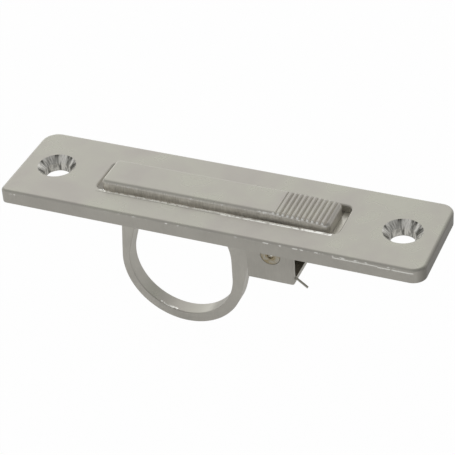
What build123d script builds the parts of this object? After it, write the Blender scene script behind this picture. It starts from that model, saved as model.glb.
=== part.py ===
from build123d import *
import math
import os

# Floor latch with a flush finger ring, in millimetres.
# X runs along the plate, towards the push end of the bar. Z is up, out of the floor.
# The origin is midway between the two screw holes, on the plane of the rim that seats on the floor.

# Face plate
PLATE_LENGTH = 110.0
PLATE_WIDTH = 27.8
PLATE_HEIGHT = 3.8
PLATE_CORNER_R = 4.2
TIGHT_CORNER_R = 1.6
PLATE_EDGE_R = 0.8
SKIN = 2.0
RIM_WIDTH = 2.4

# Screw holes, for a 5 mm countersunk wood screw
SCREW_SPACING = 91.6
SCREW_HOLE_R = 3.3
COUNTERSINK_R = 4.9
BOSS_R = 6.4

# Slot in the plate
SLOT_MIN_X = -32.3
SLOT_MAX_X = 31.5
SLOT_WIDTH = 11.7
SLOT_CORNER_R = 1.6
SLOT_EDGE_R = 0.5
END_RIB_MIN_X = -34.2
END_RIB_MAX_X = -32.6
END_RIB_WIDTH = 15.0

# Housing, cast with the plate
HOUSING_MIN_X = 8.1
HOUSING_MAX_X = 20.3
HOUSING_WIDTH = 14.0
HOUSING_DEPTH = 13.5
HOUSING_FLOOR = 1.2
HOUSING_EDGE_R = 0.5
FLOOR_END_CHAMFER = 0.6

# Pivot
PIVOT_X = 14.4
PIVOT_Z = -5.9
PIN_R = 1.5
PIN_CLEARANCE = 0.04
RIVET_HEAD_R = 2.55
RIVET_HEAD_HEIGHT = 0.6
RIVET_HEAD_ROUND = 0.42
RIVET_SEAT_DEPTH = 0.5
RIVET_SEAT_GAP = 0.2
RIVET_HOLLOW_R = 0.95
RIVET_HOLLOW_DEPTH = 3.0

# Bar of the ring casting
BAR_MIN_X = -31.0
BAR_MAX_X = 29.2
BAR_WIDTH = 10.2
BAR_TOP = PLATE_HEIGHT + 1.9
BAR_THICKNESS = 2.9
BAR_CORNER_R = 1.5
BAR_EDGE_R = 1.0
DIP_MIN_X = 14.0
DIP_DEPTH = 0.6

# Grooves across the push end
GROOVE_COUNT = 11
GROOVE_PITCH = 1.25
GROOVE_HALF_WIDTH = 0.38
GROOVE_DEPTH = 0.5
FIRST_GROOVE_DEPTH = 0.25
GROOVE_CUT = 1.0
LAST_GROOVE_X = 27.9

# End block, stop lip and heel under the push end
LIP_MIN_X = 27.4
LIP_MAX_X = 33.2
LIP_WIDTH = 13.0
LIP_CORNER_R = 1.0
LIP_GAP = 0.1
LIP_THICKNESS = 1.4
HEEL_MIN_X = 20.8
HEEL_WIDE_MIN_X = 24.0
HEEL_WIDTH = 5.6

# Finger ring
RING_THICKNESS = 4.2
RING_X = -12.3
RING_Z = -20.1
RING_OUTER_R = 16.8
RING_INNER_X = -12.7
RING_INNER_Z = -19.75
RING_INNER_R = 13.9
RING_EDGE_R = 1.0
LEG_TOP_X = -27.0
OPENING_TOP = -0.2
OPENING_LEFT_X = -21.8
OPENING_CORNER_R = 3.0

# Web and hub round the pin
HUB_R = 4.3
HUB_SIDE_GAP = 0.3
WEB_MAX_X = 20.0
WEB_FOOT_X = 7.1
WEB_FOOT_Z = -10.2
WEB_FOOT_R = 2.0

# Return spring
WIRE_R = 0.3
COIL_R = 2.0
COIL_PITCH = 0.62
COIL_TURNS = 3
COIL_NEAR_Y = -5.0
FLOOR_LEG_RISE = 0.35
FLOOR_LEG_TIP = 4.5
BAR_LEG_X = 19.4
BAR_LEG_GAP = 0.05

# Worked out
SLOT_LENGTH = SLOT_MAX_X - SLOT_MIN_X
SLOT_X = (SLOT_MAX_X + SLOT_MIN_X) / 2
SKIN_UNDERSIDE = PLATE_HEIGHT - SKIN
CHANNEL_WIDTH = SLOT_WIDTH
FLOOR_TOP = HOUSING_FLOOR - HOUSING_DEPTH
BAR_UNDERSIDE = BAR_TOP - BAR_THICKNESS
DIP_LENGTH = BAR_MAX_X - DIP_MIN_X
DIP_R = (DIP_LENGTH**2 + DIP_DEPTH**2) / (2 * DIP_DEPTH)
LIP_TOP = SKIN_UNDERSIDE - LIP_GAP

# Distance within which an edge counts as lying on a plane
ON_PLANE = 0.01


def x_span(x_low, x_high, width, z_low, z_high):
    """Box between two X values and two Z values, centred on the XZ plane."""
    centre = ((x_low + x_high) / 2, 0, (z_low + z_high) / 2)
    return Pos(*centre) * Box(x_high - x_low, width, z_high - z_low)


def cross_cylinder(radius, y_low, y_high):
    """Cylinder on the pivot axis, between two Y values."""
    centre = (PIVOT_X, (y_low + y_high) / 2, PIVOT_Z)
    return Pos(*centre) * Rot(90, 0, 0) * Cylinder(radius, y_high - y_low)


def plate_blank():
    """The plate without its holes: one corner is tighter, and polishing has rounded the edges."""
    blank = extrude(Rectangle(PLATE_LENGTH, PLATE_WIDTH), PLATE_HEIGHT)
    corners = blank.edges().filter_by(Axis.Z).sort_by(lambda edge: edge.center().X + edge.center().Y)
    blank = fillet(corners[0], TIGHT_CORNER_R)
    upright = blank.edges().filter_by(Axis.Z)
    square = [edge for edge in upright if edge.center().X > 0 or edge.center().Y > 0]
    blank = fillet(square, PLATE_CORNER_R)
    return fillet(blank.faces().sort_by(Axis.Z)[-1].edges(), PLATE_EDGE_R)


def underside_core():
    """Hollow of the underside, which leaves the rim, the screw bosses and a rib at the slot's end."""
    length = PLATE_LENGTH - 2 * RIM_WIDTH
    width = PLATE_WIDTH - 2 * RIM_WIDTH
    core = extrude(RectangleRounded(length, width, PLATE_CORNER_R - RIM_WIDTH), SKIN_UNDERSIDE)
    for side in (-1, 1):
        boss = Pos(side * SCREW_SPACING / 2, 0, SKIN_UNDERSIDE / 2) * Cylinder(BOSS_R, SKIN_UNDERSIDE)
        core -= boss
    end_rib = x_span(END_RIB_MIN_X, END_RIB_MAX_X, END_RIB_WIDTH, 0, SKIN_UNDERSIDE)
    return core - end_rib


def screw_hole():
    """A through hole with its 90 degree countersink, on the Z axis."""
    sink_depth = COUNTERSINK_R - SCREW_HOLE_R
    hole = Pos(0, 0, PLATE_HEIGHT / 2) * Cylinder(SCREW_HOLE_R, PLATE_HEIGHT)
    sink = Pos(0, 0, PLATE_HEIGHT - sink_depth / 2) * Cone(SCREW_HOLE_R, COUNTERSINK_R, sink_depth)
    return hole + sink


def housing():
    """The two cheeks and the floor that join them, open at both ends, rising into the plate's skin."""
    skin_middle = PLATE_HEIGHT - SKIN / 2
    outer = x_span(HOUSING_MIN_X, HOUSING_MAX_X, HOUSING_WIDTH, -HOUSING_DEPTH, skin_middle)
    outer = fillet(outer.edges().filter_by(Axis.Z), HOUSING_EDGE_R)
    channel = x_span(HOUSING_MIN_X, HOUSING_MAX_X, CHANNEL_WIDTH, FLOOR_TOP, PLATE_HEIGHT)
    body = outer - channel
    cross_edges = body.edges().filter_by(Axis.Y)
    floor_ends = cross_edges.filter_by_position(Axis.Z, FLOOR_TOP - ON_PLANE, FLOOR_TOP + ON_PLANE)
    return chamfer(floor_ends, FLOOR_END_CHAMFER)


def rivet_holes():
    """The pin's hole through both cheeks, with a spot face on the outside of each."""
    half = HOUSING_WIDTH / 2
    cut = cross_cylinder(PIN_R, -half, half)
    for side in (-1, 1):
        ends = sorted((side * half, side * (half - RIVET_SEAT_DEPTH)))
        cut += cross_cylinder(RIVET_HEAD_R + RIVET_SEAT_GAP, *ends)
    return cut


def face_plate():
    """Plate and housing as one casting."""
    body = plate_blank() - underside_core() + housing()
    slot = extrude(RectangleRounded(SLOT_LENGTH, SLOT_WIDTH, SLOT_CORNER_R), PLATE_HEIGHT)
    body -= Pos(SLOT_X, 0, 0) * slot
    top_face = body.faces().sort_by(Axis.Z)[-1]
    body = fillet(top_face.inner_wires()[0].edges(), SLOT_EDGE_R)
    for side in (-1, 1):
        body -= Pos(side * SCREW_SPACING / 2, 0, 0) * screw_hole()
    body -= rivet_holes()
    return body


def tangent_foot(point, centre, radius, side):
    """Where the line from a point touches a circle: side +1 or -1 picks the touching point."""
    dx, dz = point[0] - centre[0], point[1] - centre[1]
    angle = math.atan2(dz, dx) + side * math.acos(radius / math.hypot(dx, dz))
    return centre[0] + radius * math.cos(angle), centre[1] + radius * math.sin(angle)


def casting_outline():
    """Leg, ring, web and hub below the bar, as one flat outline in the XZ plane."""
    centre = (RING_X, RING_Z)
    leg_top = (LEG_TOP_X, BAR_UNDERSIDE)
    foot = (WEB_FOOT_X, WEB_FOOT_Z)
    leg_foot = tangent_foot(leg_top, centre, RING_OUTER_R, 1)
    ring_side = tangent_foot(foot, centre, RING_OUTER_R, -1)
    hub_low = tangent_foot(foot, (PIVOT_X, PIVOT_Z), HUB_R, 1)
    web_top = (WEB_MAX_X, BAR_UNDERSIDE)
    hub_high = tangent_foot(web_top, (PIVOT_X, PIVOT_Z), HUB_R, -1)
    hub_middle = (PIVOT_X + HUB_R * math.cos(-math.pi / 4), PIVOT_Z + HUB_R * math.sin(-math.pi / 4))
    with BuildSketch(Plane.XZ) as outline:
        with BuildLine():
            Line(leg_top, leg_foot)
            ThreePointArc(leg_foot, (RING_X, RING_Z - RING_OUTER_R), ring_side)
            Line(ring_side, foot)
            Line(foot, hub_low)
            ThreePointArc(hub_low, hub_middle, hub_high)
            Line(hub_high, web_top)
            Line(web_top, leg_top)
        make_face()
        at_foot = outline.vertices().sort_by_distance((WEB_FOOT_X, 0, WEB_FOOT_Z))[0]
        fillet(at_foot, WEB_FOOT_R)
    return outline.sketch


def finger_opening():
    """The opening for the finger, flat under the bar and round at the bottom, in the XZ plane."""
    side_x = RING_INNER_X + RING_INNER_R
    inner_centre = (RING_INNER_X, RING_INNER_Z)
    top_left = (OPENING_LEFT_X, OPENING_TOP)
    leg_foot = tangent_foot(top_left, inner_centre, RING_INNER_R, 1)
    shoulder = OPENING_TOP - RING_INNER_R
    diagonal = RING_INNER_R * math.cos(math.pi / 4)
    with BuildSketch(Plane.XZ) as opening:
        with BuildLine():
            Line(top_left, leg_foot)
            ThreePointArc(leg_foot, (RING_INNER_X, RING_INNER_Z - RING_INNER_R), (side_x, RING_INNER_Z))
            Line((side_x, RING_INNER_Z), (side_x, shoulder))
            ThreePointArc(
                (side_x, shoulder),
                (RING_INNER_X + diagonal, shoulder + diagonal),
                (RING_INNER_X, OPENING_TOP),
            )
            Line((RING_INNER_X, OPENING_TOP), top_left)
        make_face()
        corner = opening.vertices().sort_by_distance((OPENING_LEFT_X, 0, OPENING_TOP))[0]
        fillet(corner, OPENING_CORNER_R)
    return opening.sketch


def ring_body():
    """Leg, ring, web and hub as a bar of even thickness with rounded edges."""
    half = RING_THICKNESS / 2
    body = extrude(casting_outline() - finger_opening(), half, both=True)
    rims = [edge for edge in body.edges() if abs(abs(edge.center().Y) - half) < ON_PLANE]
    rounded = [edge for edge in rims if edge.center().Z < BAR_UNDERSIDE - ON_PLANE]
    return fillet(rounded, RING_EDGE_R)


def top_at(x):
    """Height of the bar's top at an X value: level, then an arc that dips towards the push end."""
    past = max(0, x - DIP_MIN_X)
    return BAR_TOP - DIP_R + math.sqrt(DIP_R**2 - past**2)


def bar_blank():
    """The bar without its grooves, with rounded corners and top edges."""
    dip_middle = (DIP_MIN_X + BAR_MAX_X) / 2
    with BuildSketch(Plane.XZ) as side:
        with BuildLine():
            Line((BAR_MIN_X, BAR_TOP), (BAR_MIN_X, BAR_UNDERSIDE))
            Line((BAR_MIN_X, BAR_UNDERSIDE), (BAR_MAX_X, BAR_UNDERSIDE))
            Line((BAR_MAX_X, BAR_UNDERSIDE), (BAR_MAX_X, top_at(BAR_MAX_X)))
            ThreePointArc(
                (BAR_MAX_X, top_at(BAR_MAX_X)),
                (dip_middle, top_at(dip_middle)),
                (DIP_MIN_X, BAR_TOP),
            )
            Line((DIP_MIN_X, BAR_TOP), (BAR_MIN_X, BAR_TOP))
        make_face()
    body = extrude(side.sketch, BAR_WIDTH / 2, both=True)
    body = fillet(body.edges().filter_by(Axis.Z), BAR_CORNER_R)
    top_edges = [edge for edge in body.edges() if edge.center().Z > top_at(BAR_MAX_X) - ON_PLANE]
    rim = [edge for edge in top_edges if abs(edge.center().X - DIP_MIN_X) > ON_PLANE]
    return fillet(rim, BAR_EDGE_R)


def groove(x, depth):
    """A V-shaped cutter across the bar at an X value."""
    bottom = top_at(x) - depth
    half_width = GROOVE_HALF_WIDTH * GROOVE_CUT / GROOVE_DEPTH
    high = bottom + GROOVE_CUT
    section = Polyline((x, bottom), (x + half_width, high), (x - half_width, high), close=True)
    return extrude(Plane.XZ * make_face(section), BAR_WIDTH, both=True)


def bar():
    """The bar, with the grooves across its push end."""
    body = bar_blank()
    for number in range(GROOVE_COUNT):
        depth = FIRST_GROOVE_DEPTH if number == GROOVE_COUNT - 1 else GROOVE_DEPTH
        body -= groove(LAST_GROOVE_X - number * GROOVE_PITCH, depth)
    return body


def push_end_underside():
    """Block under the bar's end, stop lip that closes against the plate's skin, and opening heel."""
    underside = LIP_TOP - LIP_THICKNESS
    block = x_span(HEEL_WIDE_MIN_X, BAR_MAX_X, BAR_WIDTH, underside, BAR_UNDERSIDE)
    block = fillet(block.edges().filter_by(Axis.Z).sort_by(Axis.X)[-2:], BAR_CORNER_R)
    lip = x_span(LIP_MIN_X, LIP_MAX_X, LIP_WIDTH, underside, LIP_TOP)
    lip = fillet(lip.edges().filter_by(Axis.Z), LIP_CORNER_R)
    heel = x_span(HEEL_MIN_X, HEEL_WIDE_MIN_X, HEEL_WIDTH, underside, BAR_UNDERSIDE)
    return block + lip + heel


def ring_handle():
    """Bar, finger ring, web and hub as one casting, bored for the pin."""
    far_face = CHANNEL_WIDTH / 2 - HUB_SIDE_GAP
    body = bar() + push_end_underside() + ring_body()
    body += cross_cylinder(HUB_R, RING_THICKNESS / 2 - RING_EDGE_R, far_face)
    return body - cross_cylinder(PIN_R + PIN_CLEARANCE, -CHANNEL_WIDTH / 2, CHANNEL_WIDTH / 2)


def pivot_pin():
    """Tubular rivet: plain head on the far cheek, rolled end with its hollow on the near one."""
    half = HOUSING_WIDTH / 2
    seat = half - RIVET_SEAT_DEPTH
    near_end = -seat - RIVET_HEAD_HEIGHT
    far_end = seat + RIVET_HEAD_HEIGHT
    pin = cross_cylinder(PIN_R, -seat, seat)
    far_head = cross_cylinder(RIVET_HEAD_R, seat, far_end)
    near_head = cross_cylinder(RIVET_HEAD_R, near_end, -seat)
    far_head = fillet(far_head.edges().sort_by(Axis.Y)[-1], RIVET_HEAD_ROUND)
    near_head = fillet(near_head.edges().sort_by(Axis.Y)[0], RIVET_HEAD_ROUND)
    hollow = cross_cylinder(RIVET_HOLLOW_R, near_end, near_end + RIVET_HOLLOW_DEPTH)
    return pin + far_head + near_head - hollow


def leg_to_circle(point, side):
    """Angle on the coil's circle where a straight leg from a point meets it, and the leg's length."""
    dx, dz = point[0] - PIVOT_X, point[1] - PIVOT_Z
    reach = math.hypot(dx, dz)
    angle = math.atan2(dz, dx) + side * math.acos(COIL_R / reach)
    return angle, math.sqrt(reach**2 - COIL_R**2)


def torsion_spring():
    """One wire: the leg under the bar, the coil round the pin, and the leg over the floor's end."""
    bar_contact = (BAR_LEG_X, BAR_UNDERSIDE - WIRE_R - BAR_LEG_GAP)
    floor_contact = (HOUSING_MAX_X - FLOOR_END_CHAMFER, FLOOR_TOP + FLOOR_LEG_RISE)
    start_angle, bar_leg = leg_to_circle(bar_contact, 1)
    end_angle, floor_leg = leg_to_circle(floor_contact, -1)
    turns = COIL_TURNS + (end_angle - start_angle) / (2 * math.pi) % 1
    coil = Helix(COIL_PITCH, turns * COIL_PITCH, COIL_R)
    upper = Line(coil @ 0 - (coil % 0) * bar_leg, coil @ 0)
    lower = Line(coil @ 1, coil @ 1 + (coil % 1) * (floor_leg + FLOOR_LEG_TIP))
    path = Wire([upper, coil, lower])
    section = Plane(origin=path @ 0, z_dir=path % 0) * Circle(WIRE_R)
    x_dir = (math.cos(start_angle), 0, math.sin(start_angle))
    far_end = (PIVOT_X, COIL_NEAR_Y + turns * COIL_PITCH, PIVOT_Z)
    return Plane(origin=far_end, x_dir=x_dir, z_dir=(0, -1, 0)) * sweep(section, path=path)


def main():
    """Write each piece to its own file."""
    os.makedirs("parts", exist_ok=True)
    pieces = {
        "face_plate": face_plate(),
        "ring_handle": ring_handle(),
        "pivot_pin": pivot_pin(),
        "torsion_spring": torsion_spring(),
    }
    for name, piece in pieces.items():
        export_step(piece, f"parts/{name}.step")


main()
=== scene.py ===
"""A flush floor latch: face plate, finger ring on a sprung pivot, tubular rivet and return spring."""

import logging
import math
from collections.abc import Callable
from dataclasses import dataclass, field
from enum import Enum

import bmesh
import bpy
from mathutils import Euler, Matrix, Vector


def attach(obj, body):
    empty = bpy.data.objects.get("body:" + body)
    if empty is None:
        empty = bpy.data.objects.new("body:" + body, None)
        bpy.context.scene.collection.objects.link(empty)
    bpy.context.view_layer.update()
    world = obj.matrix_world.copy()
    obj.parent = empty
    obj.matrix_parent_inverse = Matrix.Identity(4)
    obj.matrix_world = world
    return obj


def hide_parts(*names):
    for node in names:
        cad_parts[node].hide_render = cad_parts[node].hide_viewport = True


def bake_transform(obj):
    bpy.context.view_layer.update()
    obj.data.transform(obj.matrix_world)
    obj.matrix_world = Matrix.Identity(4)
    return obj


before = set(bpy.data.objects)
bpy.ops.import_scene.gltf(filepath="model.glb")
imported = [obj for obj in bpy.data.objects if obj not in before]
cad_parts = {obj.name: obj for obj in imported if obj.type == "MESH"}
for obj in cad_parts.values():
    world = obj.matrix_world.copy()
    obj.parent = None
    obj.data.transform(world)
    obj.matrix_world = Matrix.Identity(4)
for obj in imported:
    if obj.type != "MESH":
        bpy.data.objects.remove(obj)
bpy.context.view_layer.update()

MM = 0.001
LOG = logging.getLogger("floor_latch")

Point = tuple[float, float, float]
Span = tuple[float, float]
Planar = tuple[float, float]
Box = tuple[Span, Span, Span]
Piece = bpy.types.Object
EdgeTest = Callable[[Vector, Vector], bool]  # Takes an edge's two ends, in millimetres
Tree = bpy.types.NodeTree
Socket = bpy.types.NodeSocket
Outputs = bpy.types.NodeOutputs
Level = float | Socket
Colour = str | Socket

UNIT: Span = (0.0, 1.0)

# Tolerances, in millimetres
THIN = 0.01  # Thickness of the slabs that a hull is wrapped round
NEAR = 0.01  # An edge this near a face lies in it
BESIDE = 0.3  # An edge this near a corner stands at it
UPRIGHT = 1.0  # An edge longer than this in one direction runs that way
DOUBLE = 0.0005  # Vertices nearer than this are one
JOINED = 0.002  # The same, after solids are joined

# Angles, in degrees
FLAT = 0.2  # Faces that turn by less are one
FLAT_IN_HULL = 0.3  # The same, where a hull is wrapped
SHARP = 40.0  # Edges that turn by more are broken
SMOOTH = 35.0  # Edges that turn by less are shaded smooth


class Op(Enum):
    """The boolean operations."""

    UNION = "UNION"
    DIFFERENCE = "DIFFERENCE"


class Masks(Enum):
    """Where a merged mask holds: where all of its masks do, or any of them."""

    ALL = "MULTIPLY"
    ANY = "MAXIMUM"


class Along(Enum):
    """The row axis that a cylinder lies along, with the turn that brings it there."""

    Y = (math.pi / 2, 0.0, 0.0)
    Z = (0.0, 0.0, 0.0)


# Modelling steps


def deselect_all() -> None:
    """Leave object mode with nothing selected."""
    bpy.ops.object.select_all(action="DESELECT")


def activate(piece: Piece) -> None:
    """Make one object the only selected one, and the active one."""
    deselect_all()
    piece.select_set(True)
    bpy.context.view_layer.objects.active = piece


def apply_place(piece: Piece) -> None:
    """Move an object's place, turn and scale into its mesh."""
    activate(piece)
    bpy.ops.object.transform_apply(location=True, rotation=True, scale=True)


def add_box(name: str, x: Span, y: Span, z: Span) -> Piece:
    """Add a box.

    Args:
        name: The new object's name.
        x: Lowest and highest X, in millimetres.
        y: Lowest and highest Y.
        z: Lowest and highest Z.

    Returns:
        The box, with its place in its mesh.
    """
    deselect_all()
    centre = [(span[0] + span[1]) / 2 * MM for span in (x, y, z)]
    bpy.ops.mesh.primitive_cube_add(size=1.0, location=centre)
    piece = bpy.context.active_object
    piece.name = name
    piece.scale = [(span[1] - span[0]) * MM for span in (x, y, z)]
    apply_place(piece)
    return piece


def add_cylinder(name: str, radius: float, centre: Point, depth: float, along: Along, sides: int) -> Piece:
    """Add a cylinder.

    Args:
        name: The new object's name.
        radius: Radius in millimetres.
        centre: Its middle, in millimetres.
        depth: Its length, in millimetres.
        along: The axis that it lies along.
        sides: How many flat sides it has.

    Returns:
        The cylinder, with its place in its mesh.
    """
    deselect_all()
    bpy.ops.mesh.primitive_cylinder_add(
        vertices=sides,
        radius=radius * MM,
        depth=depth * MM,
        location=Vector(centre) * MM,
        rotation=along.value,
    )
    piece = bpy.context.active_object
    piece.name = name
    apply_place(piece)
    return piece


def upright(a: Vector, b: Vector) -> bool:
    """Say whether an edge stands upright."""
    return abs(a.z - b.z) > UPRIGHT


def across_at(x: float, z: float) -> EdgeTest:
    """Make a test for edges that run along Y near a place given in millimetres."""
    return lambda a, b: abs(a.y - b.y) > UPRIGHT and abs(a.x - x) < BESIDE and abs(a.z - z) < BESIDE


def select_edges(piece: Piece, wanted: EdgeTest, open_only: bool = False) -> None:
    """Enter edit mode and select edges by the places of their two ends.

    Args:
        piece: The mesh object.
        wanted: Picks the edges.
        open_only: Whether only edges at a hole in the mesh count.
    """
    activate(piece)
    bpy.ops.object.mode_set(mode="EDIT")
    bpy.ops.mesh.select_mode(type="EDGE")
    bpy.ops.mesh.select_all(action="DESELECT")
    mesh = bmesh.from_edit_mesh(piece.data)
    for edge in mesh.edges:
        if (edge.is_boundary or not open_only) and wanted(*(vertex.co / MM for vertex in edge.verts)):
            edge.select_set(True)
    mesh.select_flush_mode()
    bmesh.update_edit_mesh(piece.data)


def round_edges(piece: Piece, wanted: EdgeTest, reach: float, segments: int) -> None:
    """Round the edges that a test picks.

    Args:
        piece: The mesh object.
        wanted: Picks the edges.
        reach: How far along each face the rounding starts, in millimetres.
        segments: How many faces the rounding has; 1 is a chamfer.
    """
    select_edges(piece, wanted)
    bpy.ops.mesh.bevel(offset_type="OFFSET", offset=reach * MM, segments=segments, affect="EDGES")
    bpy.ops.object.mode_set(mode="OBJECT")


def combine(target: Piece, tool: Piece, op: Op) -> None:
    """Join one solid to another or cut it away, and delete the tool."""
    activate(target)
    modifier = target.modifiers.new("combine", "BOOLEAN")
    modifier.operation = op.value
    modifier.solver = "EXACT"
    modifier.object = tool
    bpy.ops.object.modifier_apply(modifier=modifier.name)
    bpy.data.objects.remove(tool, do_unlink=True)


def hull(name: str, pieces: list[Piece]) -> Piece:
    """Join objects and wrap one convex solid round them.

    Args:
        name: The new object's name.
        pieces: The objects to wrap; they are used up.

    Returns:
        The wrapped solid, its flat faces in one piece each.
    """
    deselect_all()
    for piece in pieces:
        piece.select_set(True)
    bpy.context.view_layer.objects.active = pieces[0]
    bpy.ops.object.join()
    joined = bpy.context.active_object
    joined.name = name
    bpy.ops.object.mode_set(mode="EDIT")
    bpy.ops.mesh.select_all(action="SELECT")
    bpy.ops.mesh.convex_hull(delete_unused=True, use_existing_faces=False)
    bpy.ops.mesh.select_all(action="SELECT")
    bpy.ops.mesh.remove_doubles(threshold=DOUBLE * MM)
    bpy.ops.mesh.dissolve_limited(angle_limit=math.radians(FLAT_IN_HULL))
    bpy.ops.mesh.normals_make_consistent(inside=False)
    bpy.ops.object.mode_set(mode="OBJECT")
    return joined


def rounded_block(name: str, x: Span, width: float, z: Span, corner: float, segments: int) -> Piece:
    """Add a block with its four upright edges rounded.

    Args:
        name: The new object's name.
        x: Lowest and highest X, in millimetres.
        width: Size along Y, centred on the object's middle plane.
        z: Lowest and highest Z.
        corner: Radius of the upright edges.
        segments: Faces in each rounding.

    Returns:
        The block.
    """
    block = add_box(name, x, (-width / 2, width / 2), z)
    round_edges(block, lambda a, b: abs(a.z - b.z) > (z[1] - z[0]) / 2, corner, segments)
    return block


def soften(piece: Piece, width: float, segments: int, angle: float, clamp: bool = True) -> None:
    """Break every sharp edge, inside and outside ones alike.

    Args:
        piece: The mesh object.
        width: Size of the rounding in millimetres.
        segments: Faces in each rounding.
        angle: Only edges that turn by more than this, in degrees.
        clamp: Whether short edges hold the width back.
    """
    activate(piece)
    modifier = piece.modifiers.new("soften", "BEVEL")
    modifier.width = width * MM
    modifier.segments = segments
    modifier.limit_method = "ANGLE"
    modifier.angle_limit = math.radians(angle)
    modifier.use_clamp_overlap = clamp
    modifier.miter_outer = "MITER_ARC"
    bpy.ops.object.modifier_apply(modifier=modifier.name)


def clean(piece: Piece, nearer: float = JOINED) -> None:
    """Merge doubled vertices, close slivers, dissolve edges in flat faces, and turn the faces outwards.

    Args:
        piece: The mesh object.
        nearer: Vertices nearer than this become one, in millimetres.
    """
    activate(piece)
    bpy.ops.object.mode_set(mode="EDIT")
    bpy.ops.mesh.select_all(action="SELECT")
    bpy.ops.mesh.remove_doubles(threshold=nearer * MM)
    bpy.ops.mesh.fill_holes(sides=4)
    bpy.ops.mesh.select_all(action="SELECT")
    bpy.ops.mesh.dissolve_degenerate(threshold=DOUBLE * MM)
    bpy.ops.mesh.dissolve_limited(angle_limit=math.radians(FLAT))
    bpy.ops.mesh.normals_make_consistent(inside=False)
    bpy.ops.object.mode_set(mode="OBJECT")


def shade(piece: Piece, angle: float) -> None:
    """Shade smooth across edges flatter than an angle in degrees, with flat faces kept flat."""
    activate(piece)
    bpy.ops.object.shade_smooth_by_angle(angle=math.radians(angle))
    modifier = piece.modifiers.new("flat_faces", "WEIGHTED_NORMAL")
    modifier.keep_sharp = True
    modifier.weight = 100
    bpy.ops.object.modifier_apply(modifier=modifier.name)


# Finishes


def linear(code: str) -> tuple[float, float, float, float]:
    """Turn an sRGB hex colour into linear values with full alpha."""
    parts = [int(code[place : place + 2], 16) / 255 for place in (1, 3, 5)]
    turned = [part / 12.92 if part <= 0.04045 else ((part + 0.055) / 1.055) ** 2.4 for part in parts]
    return (*turned, 1.0)


def add_node(tree: Tree, kind: str, inputs: dict | None = None, **settings: object) -> Outputs:
    """Add a shader node with its settings and links.

    Args:
        tree: The node tree.
        kind: The node's type name, without the ShaderNode that it starts with.
        inputs: Socket name or number to a value, or to an output socket that is linked to it.
        settings: Attributes set on the node first.

    Returns:
        The new node's outputs.
    """
    node = tree.nodes.new(f"ShaderNode{kind}")
    for name, value in settings.items():
        setattr(node, name, value)
    for key, value in (inputs or {}).items():
        if isinstance(value, bpy.types.NodeSocket):
            tree.links.new(value, node.inputs[key])
        else:
            node.inputs[key].default_value = value
    return node.outputs


def spans(value: Socket, source: Span, target: tuple[Level, Level] = UNIT) -> dict[int, Level]:
    """List a Map Range node's inputs: the value, the span it comes from and the span it is turned into."""
    return dict(enumerate((value, *source, *target)))


def merge(tree: Tree, *masks: Socket, how: Masks = Masks.ALL) -> Socket:
    """Merge masks, or shares of light, into one.

    Args:
        tree: The node tree.
        masks: The masks.
        how: Where the merged mask holds.

    Returns:
        The merged mask's socket.
    """
    merged = masks[0]
    for mask in masks[1:]:
        merged = add_node(tree, "Math", {0: merged, 1: mask}, operation=how.value)[0]
    return merged


def layered(tree: Tree, base: Colour, *layers: tuple[Socket, Colour]) -> Socket:
    """Lay colours over one another.

    Args:
        tree: The node tree.
        base: The lowest colour, as a hex code or a socket.
        layers: The share and the colour of each one above it.

    Returns:
        The colour's socket.
    """
    for share, over in layers:
        below, above = [linear(tone) if isinstance(tone, str) else tone for tone in (base, over)]
        base = add_node(tree, "Mix", {0: share, 6: below, 7: above}, data_type="RGBA")[2]
    return base


def new_material(name: str) -> tuple[bpy.types.Material, Tree]:
    """Start a material with an empty node tree."""
    material = bpy.data.materials.new(name)
    material.use_nodes = True
    material.node_tree.nodes.clear()
    return material, material.node_tree


@dataclass
class Surface:
    """A material in the making, with the places and directions that its finish is drawn by."""

    name: str

    def __post_init__(self) -> None:
        """Start the material, its coordinates and its directions."""
        self.material, self.tree = new_material(self.name)
        self.place = add_node(self.tree, "TexCoord")["Object"]
        self.parts = add_node(self.tree, "SeparateXYZ", {0: self.place})
        self.normal = add_node(self.tree, "NewGeometry")["Normal"]
        self.faced = add_node(self.tree, "SeparateXYZ", {0: self.normal})

    def inside(self, box: Box) -> Socket:
        """Make a mask that is 1 inside a box and 0 outside it.

        Args:
            box: Lowest and highest X, Y and Z, in millimetres.

        Returns:
            The mask's socket.
        """
        within = []
        for axis, (low, high) in zip("XYZ", box):
            test = {0: self.parts[axis], 1: (low + high) / 2 * MM, 2: (high - low) / 2 * MM}
            within.append(add_node(self.tree, "Math", test, operation="COMPARE")[0])
        return merge(self.tree, *within)

    def finish(
        self, colour: Socket, metallic: float, roughness: Level, height: Socket, relief: Span
    ) -> bpy.types.Material:
        """Close the material with its shader.

        Args:
            colour: The base colour.
            metallic: How metallic it is.
            roughness: Its roughness.
            height: The pattern that stands out of the surface.
            relief: How strongly the pattern shows, and how far it stands out in millimetres.

        Returns:
            The material.
        """
        bump = {"Strength": relief[0], "Distance": relief[1] * MM, "Height": height}
        metal = {
            "Base Color": colour,
            "Metallic": metallic,
            "Roughness": roughness,
            "Normal": add_node(self.tree, "Bump", bump)[0],
        }
        add_node(self.tree, "OutputMaterial", {"Surface": add_node(self.tree, "BsdfPrincipled", metal)[0]})
        return self.material


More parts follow.
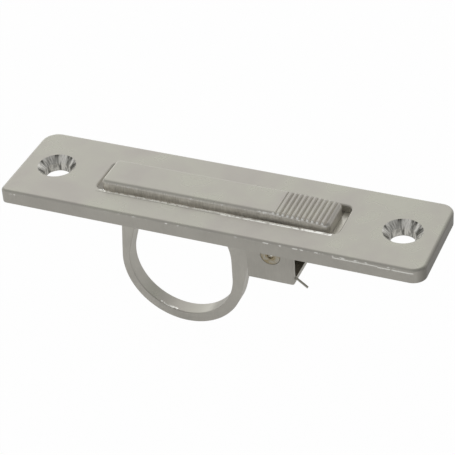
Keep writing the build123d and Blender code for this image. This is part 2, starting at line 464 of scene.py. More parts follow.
@dataclass(frozen=True)
class SatinNickel:
    """Satin nickel plate on a zinc die casting: a warm grey metal, polished on top, matt on its cast sides.
    Its upright sides are painted lighter, as painted light.

    A span named for a direction says how far the surface faces that way, from none of a mask to all of it.
    The noises are given by size in millimetres and detail: clouds, grain and the speckle that places painted
    glints.
    """

    name: str = "satin_nickel_on_zinc_casting"
    tint: str = "#BBBAAE"
    other_tint: str = "#BCB8B0"
    # Upright faces, and raised upright faces more, are painted lighter: painted light
    side_painted_light_tint: str = "#C6C3BB"
    raised_side_painted_light_tint: str = "#C6C3BB"
    raised_mm: Span = (-0.5, 0.5)
    # Countersink tool marks, their streaks painted as bright highlights and dark shade
    streak_shade_tint: str = "#595852"
    streak_highlight_tint: str = "#FFFDF6"
    # Painted glints: bright flecks on the upper edges, along set lines and at the ridges
    glint_tint: str = "#FFFEF8"
    metallic: float = 0.65
    roughness: float = 0.29
    side_roughness: float = 0.42
    side_upward: Span = (0.8, 0.3)
    noises: tuple[Span, Span, Span] = ((9.0, 2.0), (0.45, 3.0), (1.0, 2.0))
    cloud_span: Span = (0.3, 0.7)
    cloud_gloss: Span = (-0.04, 0.05)
    cloud_tone: Span = (1.03, 0.96)
    hue_span: Span = (0.35, 0.65)
    grain_relief: Span = (0.15, 0.03)
    side_grain_mm: Point = (0.4, 0.4, 1.6)
    lower_grain: float = 0.03
    upright_grain: float = 0.02
    wall_upward: Span = (0.95, 0.9)
    streak_drift: float = 60.0
    streak_noise: Point = (3.6, 4.0, 0.7)
    streak_span: Span = (0.38, 0.6)
    # Painted glints: their gloss, the way they face, where they lie and how many
    glint_roughness: float = 0.12
    glint_upward: tuple[Span, Span] = ((0.15, 0.25), (0.58, 0.5))
    glint_region: Box = ((-54.0, 50.0), (-14.0, 0.0), (2.2, 6.0))
    glint_few_many: tuple[Span, Span] = ((0.58, 0.64), (0.38, 0.5))
    glint_x_mm: Span = (-40.0, 45.0)
    glint_shift: Span = (-0.07, 0.06)
    # Faces turned to the right at the plate's end, painted darker: painted shade
    end_shade_tint: str = "#86837C"
    shaded_end_face: Box | None = None
    end_shade_rightward: Span = (0.45, 0.97)
    ridge_glint_ends: Box | None = None
    ridge_pitch_mm: float = 1.25
    ridge_crest: float = 0.22
    # Boxes painted in another tone: painted shade and painted light
    light_and_shade_boxes: tuple[tuple[Box, str], ...] = ()
    screw_holes: tuple[Box, ...] = ()
    glint_lines: tuple[Box, ...] = ()

    def material(self) -> bpy.types.Material:
        """Build the plated metal: slow clouds in hue and gloss, and matt sides with an upright grain, painted
        lighter as painted light.

        Over that lie painted shade and painted light in set boxes, tool marks in the countersinks with
        painted highlights and painted shade, and painted glints on the upper edges.
        """
        surface = Surface(self.name)
        tree = surface.tree
        cloud, grain, speckle = (
            add_node(tree, "TexNoise", {"Vector": surface.place, "Scale": 1 / (size * MM), "Detail": fine})[0]
            for size, fine in self.noises
        )
        side = add_node(tree, "MapRange", spans(surface.faced["Z"], self.side_upward))[0]
        # Painted shade and painted light in set boxes
        layers = [(surface.inside(box), tint) for box, tint in self.light_and_shade_boxes]
        # Painted shade on the plate's right end faces
        if self.shaded_end_face:
            turned = add_node(tree, "MapRange", spans(surface.faced["X"], self.end_shade_rightward))[0]
            layers.append((merge(tree, surface.inside(self.shaded_end_face), turned), self.end_shade_tint))
        if self.screw_holes:
            layers.append(self.tool_marks_and_highlights(surface))
        # Painted glints, near white
        glints = self.glints(surface, speckle)
        colour = layered(tree, self.plating(surface, cloud, side), *layers, (glints, self.glint_tint))
        uneven = add_node(tree, "MapRange", spans(cloud, self.cloud_span, self.cloud_gloss))[0]
        gloss = add_node(tree, "MapRange", spans(side, UNIT, (self.roughness, self.side_roughness)))[0]
        gloss = add_node(tree, "Math", {0: gloss, 1: uneven}, operation="ADD")[0]
        gloss = add_node(tree, "MapRange", spans(glints, UNIT, (gloss, self.glint_roughness)))[0]
        return surface.finish(colour, self.metallic, gloss, grain, self.grain_relief)

    def plating(self, surface: Surface, cloud: Socket, side: Socket) -> Socket:
        """Colour the metal apart from its marks, with its upright sides painted lighter as painted light.

        Args:
            surface: The material.
            cloud: The slow noise.
            side: 1 where the surface stands upright.

        Returns:
            The colour's socket.
        """
        tree = surface.tree
        turn = add_node(tree, "MapRange", spans(cloud, self.hue_span))[0]
        heights = (self.raised_mm[0] * MM, self.raised_mm[1] * MM)
        raised = add_node(tree, "MapRange", spans(surface.parts["Z"], heights))[0]
        scale = [1 / (size * MM) for size in self.side_grain_mm]
        stretched = add_node(tree, "Mapping", {"Vector": surface.place, "Scale": scale})[0]
        streaks = add_node(tree, "TexNoise", {"Vector": stretched, "Scale": 1.0, "Detail": 2.0})["Fac"]
        deep = add_node(tree, "MapRange", spans(raised, UNIT, (self.lower_grain, self.upright_grain)))[0]
        centred = add_node(tree, "MapRange", spans(streaks, self.cloud_span, (-1.0, 1.0)))[0]
        rough = add_node(tree, "Math", {0: centred, 1: deep, 2: 1.0}, operation="MULTIPLY_ADD")[0]
        # Painted light: upright faces get a lighter colour, raised ones lighter still
        cast = layered(tree, self.side_painted_light_tint, (raised, self.raised_side_painted_light_tint))
        cast = add_node(tree, "VectorMath", {0: cast, "Scale": rough}, operation="SCALE")[0]
        tone = add_node(tree, "MapRange", spans(cloud, self.cloud_span, self.cloud_tone))[0]
        colour = layered(tree, self.tint, (turn, self.other_tint), (side, cast))
        return add_node(tree, "VectorMath", {0: colour, "Scale": tone}, operation="SCALE")[0]

    def tool_marks_and_highlights(self, surface: Surface) -> tuple[Socket, Socket]:
        """Make the streaks that run down the countersinks, from a noise over the way faced: tool marks with
        painted highlights and painted shade.

        Args:
            surface: The material.

        Returns:
            The mask of the walls, and their colour.
        """
        tree = surface.tree
        wall = add_node(tree, "MapRange", spans(surface.faced["Z"], self.wall_upward))[0]
        holes = merge(tree, *(surface.inside(box) for box in self.screw_holes), how=Masks.ANY)
        level = add_node(tree, "VectorMath", {0: surface.normal, 1: (1, 1, 0)}, operation="MULTIPLY")[0]
        around = add_node(tree, "VectorMath", {0: level}, operation="NORMALIZE")[0]
        drift = {0: surface.place, 1: (0, 0, self.streak_drift)}
        down = add_node(tree, "VectorMath", drift, operation="MULTIPLY")[0]
        pattern = dict(zip(("Scale", "Detail", "Roughness"), self.streak_noise))
        pattern["Vector"] = add_node(tree, "VectorMath", {0: around, 1: down}, operation="ADD")[0]
        streaks = add_node(tree, "TexNoise", pattern)["Fac"]
        share = add_node(tree, "MapRange", spans(streaks, self.streak_span))[0]
        # Tool marks painted with bright highlights and dark shade
        marks = layered(tree, self.streak_shade_tint, (share, self.streak_highlight_tint))
        return merge(tree, wall, holes), marks

    def glints(self, surface: Surface, speckle: Socket) -> Socket:
        """Make a mask of painted glints: few on the rounded upper edges, many along the glint lines.

        Args:
            surface: The material.
            speckle: The noise that places them.

        Returns:
            A socket that is 1 on a painted glint.
        """
        tree = surface.tree
        lengthwise = (self.glint_x_mm[0] * MM, self.glint_x_mm[1] * MM)
        shift = add_node(tree, "MapRange", spans(surface.parts["X"], lengthwise, self.glint_shift))[0]
        speckle = add_node(tree, "Math", {0: speckle, 1: shift}, operation="ADD")[0]
        few, many = (add_node(tree, "MapRange", spans(speckle, span))[0] for span in self.glint_few_many)
        facing = surface.faced["Z"]
        above, below = (add_node(tree, "MapRange", spans(facing, span))[0] for span in self.glint_upward)
        found = [merge(tree, few, above, below, surface.inside(self.glint_region))]
        found += [merge(tree, surface.inside(box), many) for box in self.glint_lines]
        # Painted glints at the ridges' near ends
        if self.ridge_glint_ends:
            found.append(merge(tree, surface.inside(self.ridge_glint_ends), self.crests(surface)))
        return merge(tree, *found, how=Masks.ANY)

    def crests(self, surface: Surface) -> Socket:
        """Make a mask of the ridges between the grooves, counted from the last groove.

        Args:
            surface: The material.

        Returns:
            A socket that is 1 at a ridge.
        """
        tree = surface.tree
        pitch = self.ridge_pitch_mm * MM
        start = 100 - self.ridge_glint_ends[0][1] * MM / pitch  # A hundred pitches more, so that none is negative
        steps = {0: surface.parts["X"], 1: 1 / pitch, 2: start}
        step = add_node(tree, "Math", steps, operation="MULTIPLY_ADD")[0]
        share = add_node(tree, "Math", {0: step}, operation="FRACT")[0]
        return add_node(tree, "Math", {0: share, 1: 0.5, 2: self.ridge_crest}, operation="COMPARE")[0]


@dataclass(frozen=True)
class RivetBrass:
    """Plated brass tube rivet: pale on its head, brownish where the plating is worn, with turned rings and a
    painted glint in its hollow.
    """

    axis: Planar
    name: str = "plated_brass_rivet"
    tint: str = "#CBC7BA"
    bare_tint: str = "#B3A585"
    bare_span: Span = (0.42, 0.58)
    line_tint: str = "#8B7E69"
    line_span: Span = (0.3, 0.02)
    line_share: float = 0.6
    # A painted glint in the hollow: its tint and its box
    glint_tint: str = "#FFFEF8"
    glint: Box = ((14.3, 14.85), (-7.2, -6.0), (-6.25, -5.7))
    metallic: float = 0.65
    roughness: float = 0.28
    cloud_mm: float = 1.2
    ring_mm: float = 0.42
    ring_bend: float = 0.6
    ring_relief: Span = (0.4, 0.04)

    def material(self) -> bpy.types.Material:
        """Build the rivet's metal."""
        surface = Surface(self.name)
        tree = surface.tree
        off_axis = (-self.axis[0] * MM, 0, -self.axis[1] * MM)
        centred = add_node(tree, "Mapping", {"Vector": surface.place, "Location": off_axis})[0]
        blotches = {"Vector": surface.place, "Scale": 1 / (self.cloud_mm * MM), "Detail": 3.0}
        cloud = add_node(tree, "TexNoise", blotches)["Fac"]
        waves = {"Vector": centred, "Scale": math.pi / 10 / (self.ring_mm * MM), "Distortion": self.ring_bend}
        rings = add_node(tree, "TexWave", waves, wave_type="RINGS", rings_direction="Y")["Fac"]
        bare = add_node(tree, "MapRange", spans(cloud, self.bare_span))[0]
        line = add_node(tree, "MapRange", spans(rings, self.line_span, (0.0, self.line_share)))[0]
        # Painted glint
        glint = surface.inside(self.glint)
        colour = layered(
            tree, self.tint, (bare, self.bare_tint), (line, self.line_tint), (glint, self.glint_tint)
        )
        return surface.finish(colour, self.metallic, self.roughness, rings, self.ring_relief)


@dataclass(frozen=True)
class SpringWire:
    """Drawn spring steel: a darker, glossy wire with fine lengthwise draw marks."""

    name: str = "drawn_spring_steel"
    tint: str = "#BBB8AE"
    metallic: float = 0.7
    roughness: Span = (0.2, 0.4)
    tone: Span = (0.85, 1.1)
    mark_mm: float = 0.12
    mark_relief: Span = (0.2, 0.01)

    def material(self) -> bpy.types.Material:
        """Build the wire's steel."""
        surface = Surface(self.name)
        tree = surface.tree
        speckle = {"Vector": surface.place, "Scale": 1 / (self.mark_mm * MM), "Detail": 2.0}
        marks = add_node(tree, "TexNoise", speckle)["Fac"]
        gloss = add_node(tree, "MapRange", spans(marks, UNIT, self.roughness))[0]
        tone = add_node(tree, "MapRange", spans(marks, UNIT, self.tone))[0]
        toned = {0: linear(self.tint)[:3], "Scale": tone}
        colour = add_node(tree, "VectorMath", toned, operation="SCALE")[0]
        return surface.finish(colour, self.metallic, gloss, marks, self.mark_relief)


def dress(piece: Piece, material: bpy.types.Material, node: str, body: str | None) -> None:
    """Give a finished piece its material, hide the node that it stands for, and attach it to the body it
    moves with.

    Args:
        piece: The finished piece.
        material: Its material.
        node: The node that it stands for.
        body: The body that carries it, or None to leave it unattached.
    """
    piece.data.materials.clear()
    piece.data.materials.append(material)
    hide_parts(node)
    if body:
        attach(piece, body)
    LOG.info("%s: %d faces", piece.name, len(piece.data.polygons))


# Pieces


@dataclass
class Pivot:
    """The cross axis that the ring turns on, in millimetres."""

    x: float = 14.4
    z: float = -5.9

    def across(self, name: str, radius: float, y: Span, sides: int = 64) -> Piece:
        """Add a cylinder on the pivot's axis.

        Args:
            name: The new object's name.
            radius: Its radius.
            y: Lowest and highest Y.
            sides: How many flat sides it has.

        Returns:
            The cylinder.
        """
        centre = (self.x, (y[0] + y[1]) / 2, self.z)
        return add_cylinder(name, radius, centre, y[1] - y[0], Along.Y, sides)


@dataclass
class FacePlate:
    """The face plate and the housing cast with it, in millimetres."""

    pivot: Pivot
    length: float = 110.0
    width: float = 27.8
    height: float = 3.8
    corner: float = 4.2
    end_corner: float = 3.4
    tight_corner: float = 1.6
    edge: float = 0.8
    skin_underside: float = 1.8
    rim: float = 2.4
    screw_x: float = 45.8
    hole: float = 3.3
    countersink: float = 4.9
    boss: float = 6.4
    slot_x: Span = (-32.15, 31.5)
    slot_width: float = 11.7
    slot_corner: float = 1.6
    slot_edge: float = 0.5
    end_rib_x: Span = (-34.2, -32.6)
    end_rib: float = 7.5
    housing_x: Span = (8.1, 20.3)
    housing_width: float = 14.0
    housing_depth: float = 13.5
    housing_floor: float = 1.2
    housing_edge: float = 0.5
    floor_chamfer: float = 0.6
    rivet_seat: float = 2.6
    rivet_seat_depth: float = 0.5
    pin: float = 1.5
    break_edge: float = 0.12

    def blank(self) -> Piece:
        """Make the blank: the plate without its holes, its top edges polished round."""
        x, y = self.length / 2, self.width / 2
        plate = add_box("face_plate_casting", (-x, x), (-y, y), (0, self.height))
        corners = (
            (lambda a, b: upright(a, b) and a.x > 0, self.end_corner, 14),
            (lambda a, b: upright(a, b) and a.x < BESIDE - x and a.y > y - BESIDE, self.corner, 14),
            (lambda a, b: upright(a, b) and a.x < BESIDE - x and a.y < BESIDE - y, self.tight_corner, 10),
        )
        for wanted, radius, segments in corners:
            round_edges(plate, wanted, radius, segments)
        top = self.height - NEAR
        round_edges(plate, lambda a, b: min(a.z, b.z) > top, self.edge, 6)
        return plate

    def core(self) -> Piece:
        """Make the hollow of the underside, with the screw bosses and the slot's end rib left out of it."""
        half, width = self.length / 2 - self.rim, self.width - 2 * self.rim
        z, corner = (-1, self.skin_underside), self.corner - self.rim
        core = rounded_block("core", (-half, half), width, z, corner, 8)
        for side in (-1, 1):
            boss = add_cylinder("boss", self.boss, (side * self.screw_x, 0, 0), 8, Along.Z, 64)
            combine(core, boss, Op.DIFFERENCE)
        rib = add_box("end_rib", self.end_rib_x, (-self.end_rib, self.end_rib), (-2, self.height))
        combine(core, rib, Op.DIFFERENCE)
        return core

    def housing(self) -> Piece:
        """Make the two cheeks and the floor between them, open at both ends."""
        z = (-self.housing_depth, self.height - 1.0)
        body = rounded_block("housing", self.housing_x, self.housing_width, z, self.housing_edge, 4)
        floor_top = self.housing_floor - self.housing_depth
        span = (self.housing_x[0] - 1, self.housing_x[1] + 1)
        half = self.slot_width / 2
        channel = add_box("channel", span, (-half, half), (floor_top, self.height + 1))
        combine(body, channel, Op.DIFFERENCE)
        round_edges(
            body,
            lambda a, b: abs(a.x - b.x) < NEAR and all(abs(end.z - floor_top) < NEAR for end in (a, b)),
            self.floor_chamfer,
            1,
        )
        return body

    def screw_hole(self, x: float) -> Piece:
        """Make the cutter for a hole and its 90 degree countersink.

        Args:
            x: Where the hole is.

        Returns:
            The cutter: a shank, widened at its top by an extruded and scaled ring.
        """
        deepest = self.height - (self.countersink - self.hole)
        shank = add_cylinder("hole", self.hole, (x, 0, (deepest - 2) / 2), deepest + 2, Along.Z, 72)
        select_edges(shank, lambda a, b: min(a.z, b.z) > deepest - NEAR)
        over = 0.5  # How far the cutter stands out of the plate
        rise = self.countersink - self.hole + over
        grow = (self.countersink + over) / self.hole
        bpy.ops.mesh.extrude_region_move(TRANSFORM_OT_translate={"value": (0, 0, rise * MM)})
        bpy.ops.transform.resize(value=(grow, grow, 1), center_override=(x * MM, 0, 0))
        bpy.ops.object.mode_set(mode="OBJECT")
        clean(shank, 0.001)
        return shank

    def build(self) -> Piece:
        """Join the parts of the casting and cut its openings."""
        plate = self.blank()
        combine(plate, self.core(), Op.DIFFERENCE)
        combine(plate, self.housing(), Op.UNION)
        z = (-0.5, self.height + 1)
        slot = rounded_block("slot", self.slot_x, self.slot_width, z, self.slot_corner, 8)
        combine(plate, slot, Op.DIFFERENCE)
        for side in (-1, 1):
            combine(plate, self.screw_hole(side * self.screw_x), Op.DIFFERENCE)
        half = self.housing_width / 2
        for side in (-1, 1):
            low, high = sorted((side * (half - self.rivet_seat_depth), side * (half + 1)))
            combine(plate, self.pivot.across("rivet_seat", self.rivet_seat, (low, high)), Op.DIFFERENCE)
        combine(plate, self.pivot.across("pin_hole", self.pin, (-half - 1, half + 1), 48), Op.DIFFERENCE)
        clean(plate)
        top = self.height - NEAR
        wide = self.slot_width / 2 + NEAR
        left, right = self.slot_x[0] - NEAR, self.slot_x[1] + NEAR
        round_edges(
            plate,
            lambda a, b: all(e.z > top and abs(e.y) < wide and left < e.x < right for e in (a, b)),
            self.slot_edge,
            4,
        )
        soften(plate, self.break_edge, 3, SHARP)
        shade(plate, SMOOTH)
        return plate


@dataclass
class RingHandle:
    """The bar, finger ring, web and hub, cast in one, in millimetres."""

    pivot: Pivot
    bar_x: Span = (-31.0, 29.2)
    bar_width: float = 10.2
    bar_z: Span = (2.8, 5.7)
    bar_corner: float = 1.5
    bar_edge: float = 1.0
    dip_x: float = 14.0
    dip_depth: float = 0.6
    dip_steps: int = 7
    groove_count: int = 11
    groove_pitch: float = 1.25
    groove: float = 0.38
    groove_depth: float = 0.5
    first_groove_depth: float = 0.25
    last_groove_x: float = 27.9
    block_x: Span = (24.0, 29.05)
    block_inset: float = 0.15
    lip_x: Span = (27.4, 33.2)
    lip_width: float = 13.0
    lip_corner: float = 1.0
    heel_x: Span = (20.8, 24.5)
    lip_z: Span = (0.3, 1.7)
    heel_width: float = 5.6
    thickness: float = 4.2
    ring_sides: int = 168
    outer_centre: Planar = (-12.15, -19.95)
    outer: float = 16.65
    inner_centre: Planar = (-12.5, -19.75)
    inner: float = 14.2
    ring_edge: float = 0.25
    ring_merge: float = 0.02
    ring_sharp: float = 60.0
    leg_top_x: float = -27.0
    opening_top: float = -0.2
    opening_left_x: float = -22.1
    opening_corner: float = 2.29
    hub: float = 4.3
    hub_side: float = 4.2
    hub_y: Span = (0.5, 5.55)
    web_top_x: float = 20.0
    foot: Planar = (7.1, -10.2)
    foot_reach: float = 1.5
    bore: float = 1.54
    break_edge: float = 0.1

    def outline(self) -> Piece:
        """Make leg, ring, web and hub as one even bar, without the finger opening."""
        half = self.thickness / 2
        y = (-half, half)
        into_bar = self.bar_z[0] + 1.4
        x, z = self.outer_centre
        ring = add_cylinder("ring", self.outer, (x, 0, z), self.thickness, Along.Y, self.ring_sides)
        shoulder = add_box("shoulder", (self.leg_top_x, self.foot[0]), y, (self.foot[1], into_bar))
        body = hull("ring_outline", [ring, shoulder])
        hub = self.pivot.across("hub", self.hub, y, 72)
        foot_x, foot_z = self.foot
        top = add_box("web_top", (foot_x - 2, self.web_top_x), y, (into_bar - THIN, into_bar))
        foot = add_box("web_foot", (foot_x - 2, foot_x), y, (foot_z, self.bar_z[0]))
        combine(body, hull("web", [hub, top, foot]), Op.UNION)
        clean(body)
        round_edges(body, across_at(foot_x, foot_z), self.foot_reach, 8)
        return body

    def opening(self) -> Piece:
        """Make the cutter for the finger opening."""
        depth = self.thickness + 2
        x, z = self.inner_centre
        round_bottom = add_cylinder("bottom", self.inner, (x, 0, z), depth, Along.Y, self.ring_sides)
        shoulder_z = self.opening_top - self.inner
        shoulder = add_cylinder("shoulder", self.inner, (x, 0, shoulder_z), depth, Along.Y, self.ring_sides)
        select_edges(shoulder, lambda a, b: min(a.x, b.x) < x - 0.2)
        bpy.ops.mesh.delete(type="VERT")
        bpy.ops.object.mode_set(mode="OBJECT")
        y = (-depth / 2, depth / 2)
        left, top = self.opening_left_x, self.opening_top
        corner = add_box("corner", (left, x), y, (top - THIN, top))
        cutter = hull("finger_opening", [round_bottom, shoulder, corner])
        round_edges(cutter, across_at(left, top), self.opening_corner, 10)
        return cutter

    def top_at(self, x: float) -> float:
        """Work out the height of the bar's top, which dips in an arc towards the push end."""
        length = self.bar_x[1] - self.dip_x
        radius = (length**2 + self.dip_depth**2) / (2 * self.dip_depth)
        return self.bar_z[1] - radius + math.sqrt(radius**2 - max(0.0, x - self.dip_x) ** 2)

    def bar(self) -> Piece:
        """Make the bar with its rounded corners and top edges."""
        half = self.bar_width / 2
        low, high = self.bar_x
        dip = [self.dip_x + (high - self.dip_x) * step / self.dip_steps for step in range(self.dip_steps + 1)]
        slabs = [
            add_box("slab", (x - THIN, x), (-half, half), (self.bar_z[0], self.top_at(x)))
            for x in (low + THIN, *dip)
        ]
        bar = hull("ring_handle_casting", slabs)
        round_edges(bar, upright, self.bar_corner, 8)
        near = 2 * NEAR
        round_edges(
            bar,
            lambda a, b: all(abs(end.z - self.top_at(end.x)) < near for end in (a, b))
            and (abs(a.x - b.x) > near or not low + near < a.x < high - near),
            self.bar_edge,
            6,
        )
        return bar

    def groove_cutter(self, x: float, depth: float) -> Piece:
        """Make a V-shaped cutter across the bar.

        Args:
            x: Where the groove's bottom is.
            depth: How deep it goes into the bar's top.

        Returns:
            The cutter.
        """
        bottom = self.top_at(x) - depth
        reach = self.groove / self.groove_depth
        y = (-self.bar_width, self.bar_width)
        point = add_box("groove_bottom", (x - THIN / 2, x + THIN / 2), y, (bottom, bottom + THIN / 2))
        mouth = add_box("groove_mouth", (x - reach, x + reach), y, (bottom + 1, bottom + 1 + THIN))
        return hull("groove", [point, mouth])

    def push_end(self) -> list[Piece]:
        """Make the block, the stop lip and the heel under the bar's end."""
        half = self.bar_width / 2 - self.block_inset
        narrow = self.heel_width / 2
        low, into_bar = self.lip_z[0], self.bar_z[0] + 0.5
        end, corner = self.block_x[1] - NEAR, self.bar_corner - self.block_inset
        block = add_box("block", self.block_x, (-half, half), (low, into_bar))
        round_edges(block, lambda a, b: upright(a, b) and a.x > end, corner, 8)
        lip = rounded_block("lip", self.lip_x, self.lip_width, self.lip_z, self.lip_corner, 6)
        # The heel keeps clear of the other blocks' faces, so that the joined mesh has no slivers
        heel = add_box("heel", self.heel_x, (-narrow, narrow), (low + 0.001, into_bar + 0.1))
        return [block, lip, heel]

    def build(self) -> Piece:
        """Join the parts of the casting and cut its openings."""
        ring = self.outline()
        combine(ring, self.opening(), Op.DIFFERENCE)
        clean(ring, self.ring_merge)
        soften(ring, self.ring_edge, 4, self.ring_sharp, clamp=False)
        bar = self.bar()
        depths = [self.groove_depth] * (self.groove_count - 1) + [self.first_groove_depth]
        for number, depth in enumerate(depths):
            x = self.last_groove_x - number * self.groove_pitch
            combine(bar, self.groove_cutter(x, depth), Op.DIFFERENCE)
        for block in self.push_end():
            combine(bar, block, Op.UNION)
        combine(bar, ring, Op.UNION)
        combine(bar, self.pivot.across("hub_side", self.hub_side, self.hub_y, 72), Op.UNION)
        combine(bar, self.pivot.across("bore", self.bore, (-8, 8), 48), Op.DIFFERENCE)
        clean(bar)
        soften(bar, self.break_edge, 3, SHARP)
        shade(bar, SMOOTH)
        return bar


@dataclass
class PivotPin:
    """The tubular rivet through cheeks and hub, in millimetres."""

    pivot: Pivot
    radius: float = 1.5
    seat: float = 6.5
    head: float = 2.58
    head_height: float = 0.6
    head_edge: float = 0.3
    hollow: float = 0.75
    hollow_depth: float = 0.45
    mouth_edge: float = 0.3

    def build(self) -> Piece:
        """Make the shank, the plain head, and the rolled head with its hollow."""
        pin = self.pivot.across("tubular_rivet", self.radius, (-self.seat - 0.2, self.seat + 0.2))
        end = self.seat + self.head_height
        for side in (-1, 1):
            low, high = sorted((side * self.seat, side * end))
            head = self.pivot.across("head", self.head, (low, high))
            round_edges(head, lambda a, b: min(side * a.y, side * b.y) > end - NEAR, self.head_edge, 6)
            combine(pin, head, Op.UNION)
        hollow = self.pivot.across("hollow", self.hollow, (-end - 1, self.hollow_depth - end), 48)
        combine(pin, hollow, Op.DIFFERENCE)
        clean(pin)
        x, z, mouth = self.pivot.x, self.pivot.z, self.hollow + NEAR
        round_edges(
            pin,
            lambda a, b: all(e.y < NEAR - end and math.hypot(e.x - x, e.z - z) < mouth for e in (a, b)),
            self.mouth_edge,
            5,
        )
        shade(pin, SMOOTH)
        return pin


@dataclass
class ReturnSpring:
    """The torsion spring, in millimetres: a leg under the bar, a coil round the pin, a leg over the floor."""

    pivot: Pivot
    wire: float = 0.3
    coil: float = 2.0
    pitch: float = 0.62
    turns: int = 3
    near_y: float = -5.0
    floor_leg_point: Planar = (19.7, -11.95)
    floor_leg_tip: float = 4.5
    bar_leg_point: Planar = (19.4, 2.45)
    blend_turns: float = 3.3
    sides: int = 14
    steps_per_turn: int = 40

    def touch(self, point: Planar, side: int) -> tuple[float, float]:
        """Find where a straight leg leaves the coil.

        Args:
            point: A point that the leg passes, as X and Z.
            side: Which of the two tangents.

        Returns:
            The angle on the coil, and the leg's length as far as the point.
        """
        dx, dz = point[0] - self.pivot.x, point[1] - self.pivot.z
        reach = math.hypot(dx, dz)
        return math.atan2(dz, dx) + side * math.acos(self.coil / reach), math.sqrt(reach**2 - self.coil**2)

    def build(self) -> Piece:
        """Wind the coil with a screw and draw both legs out of its ends."""
        start, bar_leg = self.touch(self.bar_leg_point, 1)
        end, floor_leg = self.touch(self.floor_leg_point, -1)
        turns = self.turns + (end - start) / (2 * math.pi) % 1
        far_y = self.near_y + turns * self.pitch
        deselect_all()
        place = (self.coil * MM, 0, 0)
        bpy.ops.mesh.primitive_circle_add(vertices=self.sides, radius=self.wire * MM, location=place)
        spring = bpy.context.active_object
        spring.name = "return_spring"
        apply_place(spring)
        screw = spring.modifiers.new("wind", "SCREW")
        screw.axis = "Y"
        screw.angle = -2 * math.pi * turns
        screw.screw_offset = -turns * self.pitch * MM
        screw.steps = screw.render_steps = round(self.steps_per_turn * turns)
        screw.use_normal_calculate = True
        bpy.ops.object.modifier_apply(modifier=screw.name)
        spring.rotation_euler = Euler((0, -start, 0))
        spring.location = Vector((self.pivot.x, far_y, self.pivot.z)) * MM
        apply_place(spring)
        slope = self.pitch / (2 * math.pi * self.coil)
        down = Vector((-math.sin(end), -slope, math.cos(end))).normalized()
        up = Vector((math.sin(start), slope, -math.cos(start))).normalized()
        self.draw_leg(spring, self.near_y, down * (floor_leg + self.floor_leg_tip))
        self.draw_leg(spring, far_y, up * bar_leg)
        clean(spring, DOUBLE)
        shade(spring, 50)
        return spring

    def draw_leg(self, spring: Piece, y: float, reach: Vector) -> None:
        """Extrude the open end of the wire nearest a Y value, and close it.

        Args:
            spring: The wound wire.
            y: The Y value at the wanted end.
            reach: The leg as a vector in millimetres.
        """
        select_edges(spring, lambda a, b: abs((a.y + b.y) / 2 - y) < 2 * self.wire, open_only=True)
        bpy.ops.mesh.extrude_region_move(TRANSFORM_OT_translate={"value": reach * MM})
        bpy.ops.mesh.edge_face_add()
        bpy.ops.object.mode_set(mode="OBJECT")


# Studio


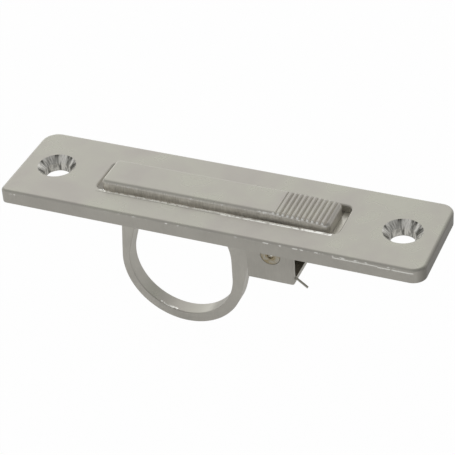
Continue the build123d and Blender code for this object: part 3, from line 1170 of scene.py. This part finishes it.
@dataclass
class Studio:
    """Camera, floor, daylight and softbox, in metres and degrees.

    Each row of the sky says how bright it is, from one way looked to another, along an axis.
    """

    camera_place: Point = (0.146148, -0.319243, 0.251185)
    camera_turn: Point = (53.7623, 3.2355, 22.1657)
    lens_mm: float = 138.78
    sensor_mm: float = 36.0
    clip: Span = (0.01, 20.0)
    floor_z: float = -0.0372
    floor_size: float = 3.0
    floor_tint: str = "#E4E3E0"
    camera_white: float = 0.985
    metal_white: float = 0.35
    sky_white: float = 0.08
    sky: tuple[tuple[str, Span, Span, str], ...] = (
        ("Y", (0.0, 0.8), (0.5, 1.15), "SMOOTHSTEP"),
        ("X", (-0.5, 0.6), (1.0, 0.45), "LINEAR"),
        ("Z", (0.05, 0.4), (1.35, 1.0), "LINEAR"),
    )
    softbox_place: Point = (-0.25, 0.3, 0.9)
    softbox_size: float = 0.9
    softbox_watts: float = 0.5

    def camera(self) -> None:
        """Set the camera at the photograph's view."""
        data = bpy.data.cameras.new("view")
        data.lens = self.lens_mm
        data.sensor_width = self.sensor_mm
        data.clip_start, data.clip_end = self.clip
        view = bpy.data.objects.new("view", data)
        view.location = self.camera_place
        view.rotation_euler = Euler([math.radians(turn) for turn in self.camera_turn])
        bpy.context.scene.collection.objects.link(view)
        bpy.context.scene.camera = view

    def whitened(self, tree: Tree, kind: str, lit: Socket, straight: float, in_metal: float) -> Socket:
        """Mix plain white into a backdrop.

        Args:
            tree: The backdrop's node tree.
            kind: The node that gives the white.
            lit: The backdrop's own light or surface.
            straight: The share of white seen straight or through glass.
            in_metal: The share where metal mirrors the backdrop.

        Returns:
            The mixed shader's socket.
        """
        path = add_node(tree, "LightPath")
        clear = merge(tree, path["Is Camera Ray"], path["Is Transmission Ray"], how=Masks.ANY)
        glossy = {0: path["Is Glossy Ray"], 1: in_metal}
        shares = {0: clear, 1: straight, 2: add_node(tree, "Math", glossy, operation="MULTIPLY")[0]}
        white = {
            0: add_node(tree, "Math", shares, operation="MULTIPLY_ADD")[0],
            1: lit,
            2: add_node(tree, kind, {"Color": (1, 1, 1, 1), "Strength": 1.0})[0],
        }
        return add_node(tree, "MixShader", white)[0]

    def floor(self) -> None:
        """Lay the pale floor, which the camera sees almost white."""
        deselect_all()
        bpy.ops.mesh.primitive_plane_add(size=self.floor_size, location=(0, 0, self.floor_z))
        floor = bpy.context.active_object
        floor.name = "studio_floor"
        material, tree = new_material("pale_studio_floor")
        matt = {"Base Color": linear(self.floor_tint), "Roughness": 0.9, "Specular IOR Level": 0.1}
        paper = add_node(tree, "BsdfPrincipled", matt)[0]
        mixed = self.whitened(tree, "Emission", paper, self.camera_white, self.metal_white)
        add_node(tree, "OutputMaterial", {"Surface": mixed})
        floor.data.materials.append(material)

    def daylight(self) -> None:
        """Fill the room with soft light: bright behind and to the left, dimmer overhead and in front."""
        world = bpy.data.worlds.new("studio")
        bpy.context.scene.world = world
        world.use_nodes = True
        tree = world.node_tree
        tree.nodes.clear()
        place = add_node(tree, "TexCoord")["Generated"]
        parts = add_node(tree, "SeparateXYZ", {0: place})
        levels = [
            add_node(tree, "MapRange", spans(parts[axis], way, level), interpolation_type=curve)[0]
            for axis, way, level, curve in self.sky
        ]
        light = {"Color": (1, 1, 1, 1), "Strength": merge(tree, *levels)}
        room = add_node(tree, "Background", light)[0]
        mixed = self.whitened(tree, "Background", room, 1.0, self.sky_white)
        add_node(tree, "OutputWorld", {"Surface": mixed})

    def softbox(self) -> None:
        """Hang the softbox over the object, behind it and to the left, and turn it towards the object."""
        data = bpy.data.lights.new("overhead_softbox", "AREA")
        data.size = self.softbox_size
        data.energy = self.softbox_watts
        lamp = bpy.data.objects.new("overhead_softbox", data)
        lamp.location = self.softbox_place
        lamp.rotation_euler = (-Vector(self.softbox_place)).to_track_quat("-Z", "Y").to_euler()
        bpy.context.scene.collection.objects.link(lamp)

    def build(self) -> None:
        """Set up the whole studio."""
        self.camera()
        self.floor()
        self.daylight()
        self.softbox()
        bpy.context.scene.view_settings.view_transform = "Standard"


@dataclass
class FloorLatch:
    """The whole object."""

    pivot: Pivot = field(default_factory=Pivot)

    def build(self) -> None:
        """Build and dress every piece."""
        plate = FacePlate(self.pivot)
        middle, reach = plate.screw_x, plate.countersink + 0.4
        holes = tuple(((x - reach, x + reach), (-reach, reach), (0.2, 4.0)) for x in (-middle, middle))
        nickel = SatinNickel(
            light_and_shade_boxes=(
                # Painted shade: the housing's inside, between its cheeks, painted dark
                (((8.0, 20.25), (-5.9, 5.9), (-12.4, 1.9)), "#6F6A60"),
                # Painted reflection: a thin dark line on the plate's top before the slot, the bar mirrored in
                # it
                (((-31.5, 2.0), (-7.25, -7.1), (3.7, 3.9)), "#96948C"),
            ),
            # Painted shade on the plate's right end
            shaded_end_face=((48.0, 55.1), (-14.0, 14.0), (-0.1, 3.7)),
            screw_holes=holes,
            # Lines of painted glints: the slot's near edge and short dashes along the front edge
            glint_lines=(
                ((-31.0, 30.3), (-6.85, -5.6), (3.3, 4.0)),
                ((2.0, 30.3), (-7.1, -6.8), (3.3, 4.0)),
                ((33.0, 44.0), (-14.0, -13.6), (2.8, 3.08)),
                ((44.0, 52.6), (-14.0, -13.5), (2.58, 2.9)),
                ((28.4, 29.4), (-14.0, -13.2), (3.25, 3.5)),
                ((-52.2, -50.6), (-14.0, -13.6), (2.8, 3.1)),
            ),
        ).material()
        # The ring's nickel, its sides painted lighter than the plate's: painted light on the ring, which lies
        # in shade under the plate
        ring_nickel_painted_lighter = SatinNickel(
            name="satin_nickel_painted_lighter_on_ring",
            side_painted_light_tint="#D2CFC7",
            raised_side_painted_light_tint="#E6E2D9",
            upright_grain=0.12,
            # Painted light: the stop lip's top painted lighter where the bar's end shades it
            light_and_shade_boxes=((((29.3, 33.3), (-6.6, 6.6), (1.5, 1.8)), "#DEDBD0"),),
            # Lines of painted glints: the ring's bottom and the bar's near top edge
            glint_lines=(
                ((-19.2, -12.6), (-2.0, -1.3), (-33.8, -31.4)),
                ((10.5, 15.2), (-4.98, -4.8), (4.9, 5.7)),
            ),
            # Painted glints at the ridges' near ends
            ridge_glint_ends=((14.15, 27.9), (-4.95, -4.62), (4.3, 5.7)),
        ).material()
        brass = RivetBrass((self.pivot.x, self.pivot.z)).material()
        dress(plate.build(), nickel, "face_plate", "plate")
        dress(RingHandle(self.pivot).build(), ring_nickel_painted_lighter, "ring_handle", "ring")
        dress(PivotPin(self.pivot).build(), brass, "pivot_pin", "plate")
        spring = ReturnSpring(self.pivot)
        wire = spring.build()
        dress(wire, SpringWire().material(), "torsion_spring", None)
        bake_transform(wire)


def main() -> None:
    """Build the studio and the floor latch."""
    logging.basicConfig(level=logging.INFO, format="%(name)s %(message)s")
    Studio().build()
    FloorLatch().build()


if __name__ == "__main__":
    main()
